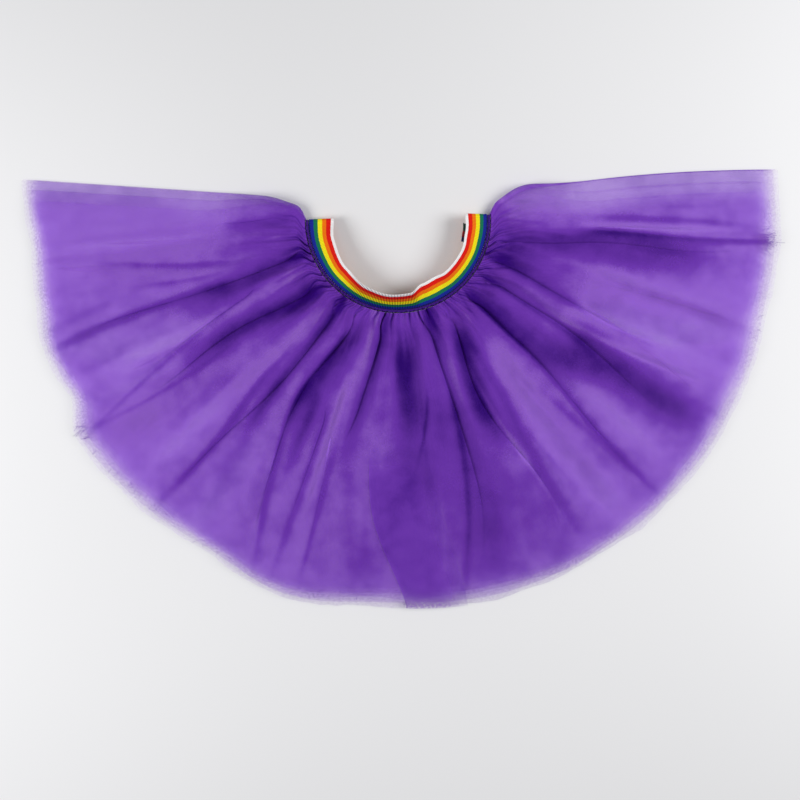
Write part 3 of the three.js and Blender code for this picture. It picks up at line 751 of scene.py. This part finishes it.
def tulle_material(name):
    """Sheer net: deeper in colour and closer in cover where gathered or folded, with painted shade and
    highlights.
    """
    n = Nodes(name)
    dark, hem, gather = n.attribute("dark"), n.attribute("thin"), n.attribute("gather")
    mottle = n.speckle(60.0, 3.0, -0.1, 0.1)
    grain = n.noise(420.0, 3.0)

    across, down = n.attribute("strip"), n.attribute("drop")
    net = None
    for ahead, aside in ((1.0, 0.0), (-0.5, 0.866), (-0.5, -0.866)):
        place = n.plus(n.times(across, ahead / NET_CELL), n.times(down, aside / NET_CELL))
        wave = n.math("COSINE", n.times(place, 2 * math.pi))
        net = wave if net is None else n.plus(net, wave)
    thread = n.between(net, 1.2, -0.9, 0.82, 1.18)

    layers = n.times(gather, n.plus(n.between(dark, -1.0, 1.1, 0.45, 2.5), mottle))
    left_at_hem = n.math("MAXIMUM", 0.06, n.math("SUBTRACT", 1.0, n.times(hem, 0.66)))
    cover = n.math("SUBTRACT", 1.0, n.math("POWER", 1 - COVER, n.times(layers, left_at_hem)))
    frayed = n.plus(1.0, n.times(hem, n.between(grain, 0.35, 0.65, -0.42, 0.42)))
    alpha = n.times(n.times(cover, thread), frayed)
    n.wire(n.math("MINIMUM", alpha, 1.0), n.shader.inputs["Alpha"])

    # From a painted highlight on a lit crest to painted shade under a fold, where the cloth is also denser
    depth = n.plus(n.plus(dark, n.between(gather, 1.0, 3.0, -0.36, 0.15)), mottle)
    depth = n.plus(depth, n.between(grain, NOISE_LOW, NOISE_HIGH, -0.045, 0.045))
    colour = n.mix(n.between(depth, -0.7, 0.1), LIT, MIDDLE)
    colour = n.mix(n.between(depth, -0.15, 1.4), colour, DENSE_AND_SHADED)
    # Paler towards the hem: painted light from the white floor shining up through the thin net
    colour = n.mix(n.math("MINIMUM", n.times(hem, 0.7), 0.9), colour, HEM_LIGHT_FROM_FLOOR)
    fill(n.shader, {"Sheen Roughness": 0.4, "Sheen Tint": (0.75, 0.5, 1.0, 1.0)})
    return n.finish(colour, 0.7, 0.04, 0.04)


# The elastic's stripes, from the seam across it: width and colour
STRIPES = [
    (4.7, (0.010, 0.022, 0.33)),
    (4.2, (0.010, 0.20, 0.09)),
    (4.6, (1.0, 0.88, 0.01)),
    (4.1, (1.0, 0.21, 0.006)),
    (4.8, (0.86, 0.012, 0.006)),
    (2.6, (1.0, 0.99, 0.99)),
]

# The overlock thread's colours, each with the share of the join's length where it starts
OVERLOCK = [
    (0.0, (0.02, 0.05, 0.04)),
    (0.4, (0.32, 0.012, 0.02)),
    (0.75, (0.01, 0.012, 0.09)),
]


def elastic_material():
    """Woven stripes along the elastic, by distance across it from the seam."""
    n = Nodes("striped_elastic")
    starts = np.cumsum([0.0] + [width for width, _ in STRIPES]) / BAND["width"]
    place = n.plus(n.attribute("across"), n.speckle(900.0, 1.0, -0.006, 0.006))
    stripes = n.bands([(start, colour) for start, (_, colour) in zip(starts, STRIPES)], place)
    yarn = n.between(n.noise(2600.0, 1.0), 0.35, 0.65, 0.0, 0.06)
    # Painted shade in the grooves between the ribs, whose strength the band sets by how steeply it rises
    groove_shade = n.between(n.attribute("rib"), 0.05, -0.75, 0.0, 0.95)
    n.bump(n.noise(2600.0, 1.0), 0.0002)
    return n.finish(n.mix(n.plus(yarn, groove_shade), stripes, (0.0, 0.0, 0.0)), 0.8, 0.12)


def plain_cloth(name, colour):
    """Thread or close-gathered cloth of one colour with a fine uneven grain."""
    n = Nodes(name)
    darker = tuple(0.55 * c for c in colour)
    n.bump(n.noise(2400.0, 1.0), 0.0003)
    return n.finish(n.mix(n.speckle(1500.0, 2.0, 0.0, 1.0), colour, darker), 0.75, 0.1, 0.04)


def overlock_material():
    """Overlock thread, whose colour changes along the join."""
    n = Nodes("overlock_thread")
    return n.finish(n.bands(OVERLOCK, n.attribute("place")), 0.8, 0.5)


def floor_material():
    """A matt white surface, very slightly uneven in tone."""
    n = Nodes("paper_floor")
    shade = n.speckle(1.4, 1.0, 0.0, 1.0)
    return n.finish(n.mix(shade, (0.80, 0.80, 0.81), (0.84, 0.84, 0.85)), 0.9, 0.2)


# Pieces


def make_tulle(layer, material):
    """One gathered tube of tulle, with the numbers that its material reads."""
    info = LAYERS[layer]
    x, y, z, q, thin, dark, cover = tube(layer)
    points = np.stack([x, y, z], axis=-1)
    piece = link(info["name"] + "_cloth", points, grid_faces(*x.shape, True), material)
    gather = np.clip(info["cut"] / round_length(points), LEAST_GATHER, MOST_GATHER)[:, None] * cover
    strip = np.broadcast_to(np.linspace(0, info["cut"], x.shape[1]), x.shape)
    numbers(piece, gather=gather, thin=thin, strip=strip, drop=q, dark=dark)
    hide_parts(info["name"])
    return piece


def lap_grid():
    """The lap's rows and columns, laid on the outer front but still flat."""
    shares = np.linspace(LAP["start"], 1, LAP["rows"] + 1)
    share, even = np.meshgrid(shares, np.linspace(0, 1, LAP["columns"] + 1), indexing="ij")
    a = np.full_like(even, 0.5)
    # the hem's distance and the strip's place across the fan depend on each other
    for _ in range(4):
        end = hem_distance(a)
        q = share * end + LAP["past"] * smooth(share, 0.9, 1.0)
        r = waist_radius(FRONT_MIDDLE) + q
        angle = along(LAP["left"], r) + (along(LAP["right"], r) - along(LAP["left"], r)) * even
        a = (angle - wing_edge("left", q)) / (wing_edge("right", q) - wing_edge("left", q))
    return SimpleNamespace(share=share, even=even, end=end, q=q, a=a, angle=angle, r=waist_radius(angle) + q)


def make_lap(material):
    """The cut end of the outer tulle: a strip lying on the outer front."""
    rng = np.random.default_rng(11)
    grid = lap_grid()
    share, even, q, angle, r = grid.share, grid.even, grid.q, grid.angle, grid.r
    z, inside = front_height(grid.a, angle, r, np.minimum(q, grid.end), grid.end)
    crease = gathers(rng, angle, r, q, **FRONT_CREASES)
    swell = swelling(rng, angle, r, q)
    shift, lift = knife_folds(angle, r, q)
    angle = angle + np.degrees(shift / r)
    # The doubled strip is denser and takes more painted shade
    dark = darkness(angle, r, q, grid.a) + LAP["darker"]
    from_edges = smooth(even, 0, LAP["edge"]) * smooth(1 - even, 0, LAP["edge"])
    z = z + (lift + crease + swell + LOOSE_RISE) * inside + seam_ripple(grid.a, q)
    z = z + LAP["edge_lift"] + LAP["middle_lift"] * from_edges
    points = np.stack([*around_fan(angle, r), z], axis=-1)
    piece = link("tulle_end_lap_cloth", points, grid_faces(*z.shape, False), material)
    shows = smooth(r, *LAP["shows"]) * (1 - LAP["right_sheer"] * smooth(even, 0.55, 1))
    gather = (LAP["gather"] - LAP["looser"] * share) * shows
    thin = thinning(angle, share, 0)
    numbers(piece, gather=gather, thin=thin, strip=even * LAP["cut"], drop=q, dark=dark)
    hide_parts("tulle_end_lap")
    return piece


def waist_loop(spacing):
    """Round the elastic: seam points, directions across and outwards, lengths so far, and whole length."""
    count = int(math.radians(WAIST["to"] - WAIST["from"]) * WAIST["radius"] / spacing)
    angle = np.linspace(WAIST["from"], WAIST["to"], count + 1)
    t = np.radians(angle)
    out = np.stack([np.cos(t), np.sin(t), np.zeros_like(t)], axis=1)
    tilt = np.radians(eased(TILTS, angle))[:, None]
    across = -out * np.cos(tilt) + UP * np.sin(tilt)
    plan = out * WAIST["radius"] + np.array([WAIST["x"], WAIST["y"], 0])
    front = plan + UP * SEAM_FRONT
    back = (plan + UP * SEAM_BACK)[::-1]

    def fold(first, last, k, sign):
        """Half a turn from front to back or the other way, at station k of the front."""
        half = (first[2] - last[2]) / 2
        steps = max(6, int(math.pi * abs(half) / spacing))
        turned = np.linspace(0, math.pi, steps + 1)[1:-1, None]
        ahead = np.array([-out[k, 1], out[k, 0], 0]) * sign
        round_it = (first + last) / 2 + ahead * abs(half) * np.sin(turned) + UP * half * np.cos(turned)
        return round_it, np.repeat(across[None, k], steps - 1, 0), np.repeat(out[None, k], steps - 1, 0)

    right = fold(front[-1], back[0], -1, 1)
    left = fold(back[-1], front[0], 0, -1)
    parts = ((front, across, out), right, (back, across[::-1], out[::-1]), left)
    seam, across_all, out_all = (np.concatenate(arrays) for arrays in zip(*parts))
    steps = np.linalg.norm(np.diff(seam, axis=0, append=seam[:1]), axis=1)
    length = np.concatenate([[0], np.cumsum(steps)[:-1]])
    return seam, across_all, out_all, length, float(steps.sum())


RIB_PITCH = 1.7
RIB_HEIGHT = 0.16
# Painted shade in the rib grooves: its least strength, and the elastic's rise over which it grows to full
GROOVE_SHADE_BY_RISE = {"least": 0.25, "from": 0.66, "to": 0.86}  # how deep the grooves look, by the elastic's rise


def band_outline():
    """The elastic's cross-section with rounded edges: distance across it and height off its middle."""
    edge = BAND["thickness"] / 2
    round_edge = [(edge * (1 - math.cos(t)), edge * math.sin(t)) for t in np.linspace(0, math.pi / 2, 4)]
    side = round_edge[:-1]
    side += [(edge + share * (BAND["width"] - 2 * edge), edge) for share in np.linspace(0, 1, 22)]
    side += [(BAND["width"] - w, h) for w, h in reversed(round_edge[:-1])]
    return np.array(side + [(w, -h) for w, h in reversed(side[1:-1])])


def make_band(material):
    """The elastic: a loop with crosswise ribs raised on both faces."""
    seam, across, _, length, total = waist_loop(RIB_PITCH / 4)
    ahead = np.roll(seam, -1, axis=0) - np.roll(seam, 1, axis=0)
    normal = np.cross(across, ahead)
    normal = normal / np.linalg.norm(normal, axis=1, keepdims=True)
    rib = np.cos(2 * math.pi * length * round(total / RIB_PITCH) / total)
    outline = band_outline()
    height = outline[:, 1] + np.sign(outline[:, 1]) * RIB_HEIGHT * rib[:, None]
    points = seam[:, None] + across[:, None] * outline[:, :1] + normal[:, None] * height[:, :, None]
    rows, columns = height.shape
    piece = link("waistband_elastic_striped", points, ring_faces(rows, columns, True), material)
    # Painted shade in the rib grooves, stronger where the elastic rises steeply
    deeper = smooth(across[:, 2], GROOVE_SHADE_BY_RISE["from"], GROOVE_SHADE_BY_RISE["to"])
    groove_shade_strength = GROOVE_SHADE_BY_RISE["least"] + (1 - GROOVE_SHADE_BY_RISE["least"]) * deeper
    width_share = np.tile(outline[:, 0] / BAND["width"], rows)
    numbers(piece, across=width_share, rib=np.repeat(rib * groove_shade_strength, columns))
    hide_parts("waistband_elastic")


RUFFLE_PITCH = 4.2


def make_heading(material):
    """The ruffled edge of the gathered tulle along the elastic's seam."""
    seam, _, out, length, total = waist_loop(0.7)
    rng = np.random.default_rng(5)
    phase = np.cumsum(rng.uniform(0.6, 1.4, size=len(length)))
    phase = phase / phase[-1] * round(total / RUFFLE_PITCH) * 2 * math.pi
    wave = np.sin(phase)[:, None]
    swing = np.cos(phase * 0.5 + 1.0)[:, None]
    widths = np.linspace(0, 1, 7)
    reach = HEADING["start"] + HEADING["width"] * widths * (1 + 0.12 * swing)
    lift = 0.9 + (0.35 + 0.75 * widths) * wave + 0.8 * np.sin(math.pi * widths)
    points = seam[:, None] + out[:, None] * reach[:, :, None] + UP * lift[:, :, None]
    piece = link("gathered_heading_ruffle", points, ring_faces(*lift.shape, False), material)
    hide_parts("gathered_heading")


def rods(name, pairs, radius, material, sides=5):
    """One mesh of short straight threads, each from one point to another."""
    points, faces = [], []
    for first, last in pairs:
        first, last = np.asarray(first, float), np.asarray(last, float)
        ahead = last - first
        ahead = ahead / np.linalg.norm(ahead)
        side = np.cross(ahead, [0.3, 0.2, 0.93])
        side = side / np.linalg.norm(side)
        up = np.cross(ahead, side)
        base = len(points)
        for end in (first, last):
            for k in range(sides):
                t = 2 * math.pi * k / sides
                points.append(end + radius * (math.cos(t) * side + math.sin(t) * up))
        for k in range(sides):
            m = (k + 1) % sides
            faces.append([base + k, base + m, base + sides + m, base + sides + k])
        faces.append([base + k for k in reversed(range(sides))])
        faces.append([base + sides + k for k in range(sides)])
    piece = link(name, points, faces, material)
    return piece


STITCH_PITCH = 2.4


def make_stitches(material):
    """Zigzag stitches that hold the gathered edge to the elastic."""
    seam, across, _, _, total = waist_loop(0.35)
    count = round(total / STITCH_PITCH)

    def spot(k, over, rise):
        i = int(k * len(seam) / count) % len(seam)
        return seam[i] + across[i] * over + UP * (BAND["thickness"] / 2 + rise)

    pairs = []
    for k in range(count):
        on_band = spot(k + 0.5, 0.9, 0.35)
        pairs.append((spot(k, -0.8, 0.45), on_band))
        pairs.append((on_band, spot(k + 1, -0.8, 0.45)))
    rods("heading_stitches", pairs, 0.19, material)


# Loose threads at the cut edges: angle, radius, spread of both, greatest height, count and length
THREADS = table(("angle", "radius", "fan", "deep", "high", "count", "length"), [
    (215.2, 385, 0.9, 8, 3.2, 10, 8),
    (216.6, 387, 0.7, 6, 3.2, 8, 6),
    (354.3, 361, 1.5, 9, 7.5, 120, 12),
    (271.2, 398, 0.8, 3, 3.2, 12, 4),
    (225, 387, 8, 4, 3.2, 16, 5),
    (322, 380, 16, 3, 3.2, 20, 4),
    (250, 391, 20, 3, 3.2, 20, 4),
])
THREAD_BENDS = 4
THREAD_LOWEST = 0.4


def make_threads(material):
    """Frayed threads of the net, each a short bent line lying at the hem."""
    rng = np.random.default_rng(21)
    pairs = []
    for row in THREADS:
        for _ in range(row["count"]):
            t = math.radians(row["angle"] + rng.normal(0, row["fan"] / 2))
            reach = row["radius"] + rng.normal(0, row["deep"] / 2)
            rise = rng.uniform(0.4 * row["high"], row["high"])
            place = np.array([reach * math.cos(t), reach * math.sin(t), rise])
            course = t + rng.normal(0, 0.28)
            step = rng.uniform(0.5, 1.3) * row["length"] / THREAD_BENDS
            for _ in range(THREAD_BENDS):
                course += rng.normal(0, 0.22)
                ahead = place + step * np.array([math.cos(course), math.sin(course), rng.normal(0, 0.08)])
                ahead[2] = max(THREAD_LOWEST, ahead[2])
                pairs.append((place, ahead))
                place = ahead
    rods("hem_loose_threads", pairs, 0.13, material, 4)


OVERLOCK_LOOPS = 26


def make_join(material):
    """The overlocked end of the elastic: close loops of thread round a short upright edge."""
    pairs = []
    turn = math.degrees(JOIN["length"] / (WAIST["radius"] - JOIN["inset"]))
    for k in range(OVERLOCK_LOOPS):
        angle = JOIN["angle"] - (k + 0.5) / OVERLOCK_LOOPS * turn
        tilt = math.radians(eased(TILTS, angle))
        low = SEAM_BACK + JOIN["inset"] * math.sin(tilt) - 0.2
        for face in (-1, 0, 1):
            reach = WAIST["radius"] - JOIN["inset"] * math.cos(tilt) + face * 0.85 - 0.6
            ends = []
            for slant, z in ((0, low), (0.5 * face, low + JOIN["height"])):
                x, y = around_fan(angle - slant, reach)
                ends.append((WAIST["x"] + x, WAIST["y"] + y, z))
            pairs.append(ends)
    piece = rods("waistband_join_overlock", pairs, 0.55, material, 6)
    points_each = len(piece.data.vertices) // len(pairs)
    numbers(piece, place=np.repeat([k // 3 / OVERLOCK_LOOPS for k in range(len(pairs))], points_each))
    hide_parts("waistband_join")


# Surroundings

FLOOR = {"size": 8.0, "height": -0.0004}
LAMP = {"size": 0.75, "aside": 1.1, "height": 0.85}
# The picture: its width, the height where it is that wide, and its middle's place from the fan's centre
PICTURE = {"width": 800.0, "height": 5.0, "x": 1.0, "y": -195.0}
LENS = 70.0
SENSOR = 36.0


def make_floor():
    """The surface that the skirt lies on."""
    bpy.ops.mesh.primitive_plane_add(size=FLOOR["size"], location=(0, 0, FLOOR["height"]))
    floor = bpy.context.object
    floor.name = "floor"
    floor.data.materials.append(floor_material())


def make_lamp(name, x, y, power):
    """A large round lamp beside the skirt, aimed at its middle."""
    data = bpy.data.lights.new(name, "AREA")
    data.shape = "DISK"
    data.size = LAMP["size"]
    data.energy = power
    lamp = bpy.data.objects.new(name, data)
    place = np.array([x, y, LAMP["height"]])
    aim = -place / np.linalg.norm(place)
    lamp.location = place
    lamp.rotation_euler = (math.acos(-aim[2]), 0, math.atan2(-aim[0], aim[1]))
    bpy.context.scene.collection.objects.link(lamp)


def make_lights():
    """Even light from all round, and a lamp on each side."""
    world = bpy.data.worlds.new("studio")
    bpy.context.scene.world = world
    world.use_nodes = True
    fill(world.node_tree.nodes["Background"], {"Color": (1.0, 1.0, 1.02, 1), "Strength": 0.28})
    make_lamp("key", -LAMP["aside"], -0.15, 11.6)
    make_lamp("fill", LAMP["aside"], 0.2, 12.2)


def make_camera():
    """Straight above the cloth, with 800 mm of it across the picture."""
    data = bpy.data.cameras.new("camera")
    data.lens = LENS
    data.sensor_width = SENSOR
    camera = bpy.data.objects.new("camera", data)
    height = PICTURE["height"] + PICTURE["width"] * LENS / SENSOR
    camera.location = (CENTRE_X + PICTURE["x"] * MM, CENTRE_Y + PICTURE["y"] * MM, height * MM)
    bpy.context.scene.collection.objects.link(camera)
    bpy.context.scene.camera = camera


make_camera()
make_floor()
make_lights()
bpy.context.scene.cycles.transparent_max_bounces = 48
bpy.context.scene.view_settings.view_transform = "Standard"

nets = [tulle_material(info["name"]) for info in LAYERS]
tulle = [make_tulle(layer, net) for layer, net in enumerate(nets)]
lap = make_lap(nets[0])
make_band(elastic_material())
make_heading(plain_cloth("gathered_net", (0.065, 0.012, 0.27)))
make_stitches(plain_cloth("seam_thread", (0.02, 0.02, 0.12)))
make_join(overlock_material())
make_threads(plain_cloth("loose_net_thread", (0.12, 0.03, 0.38)))
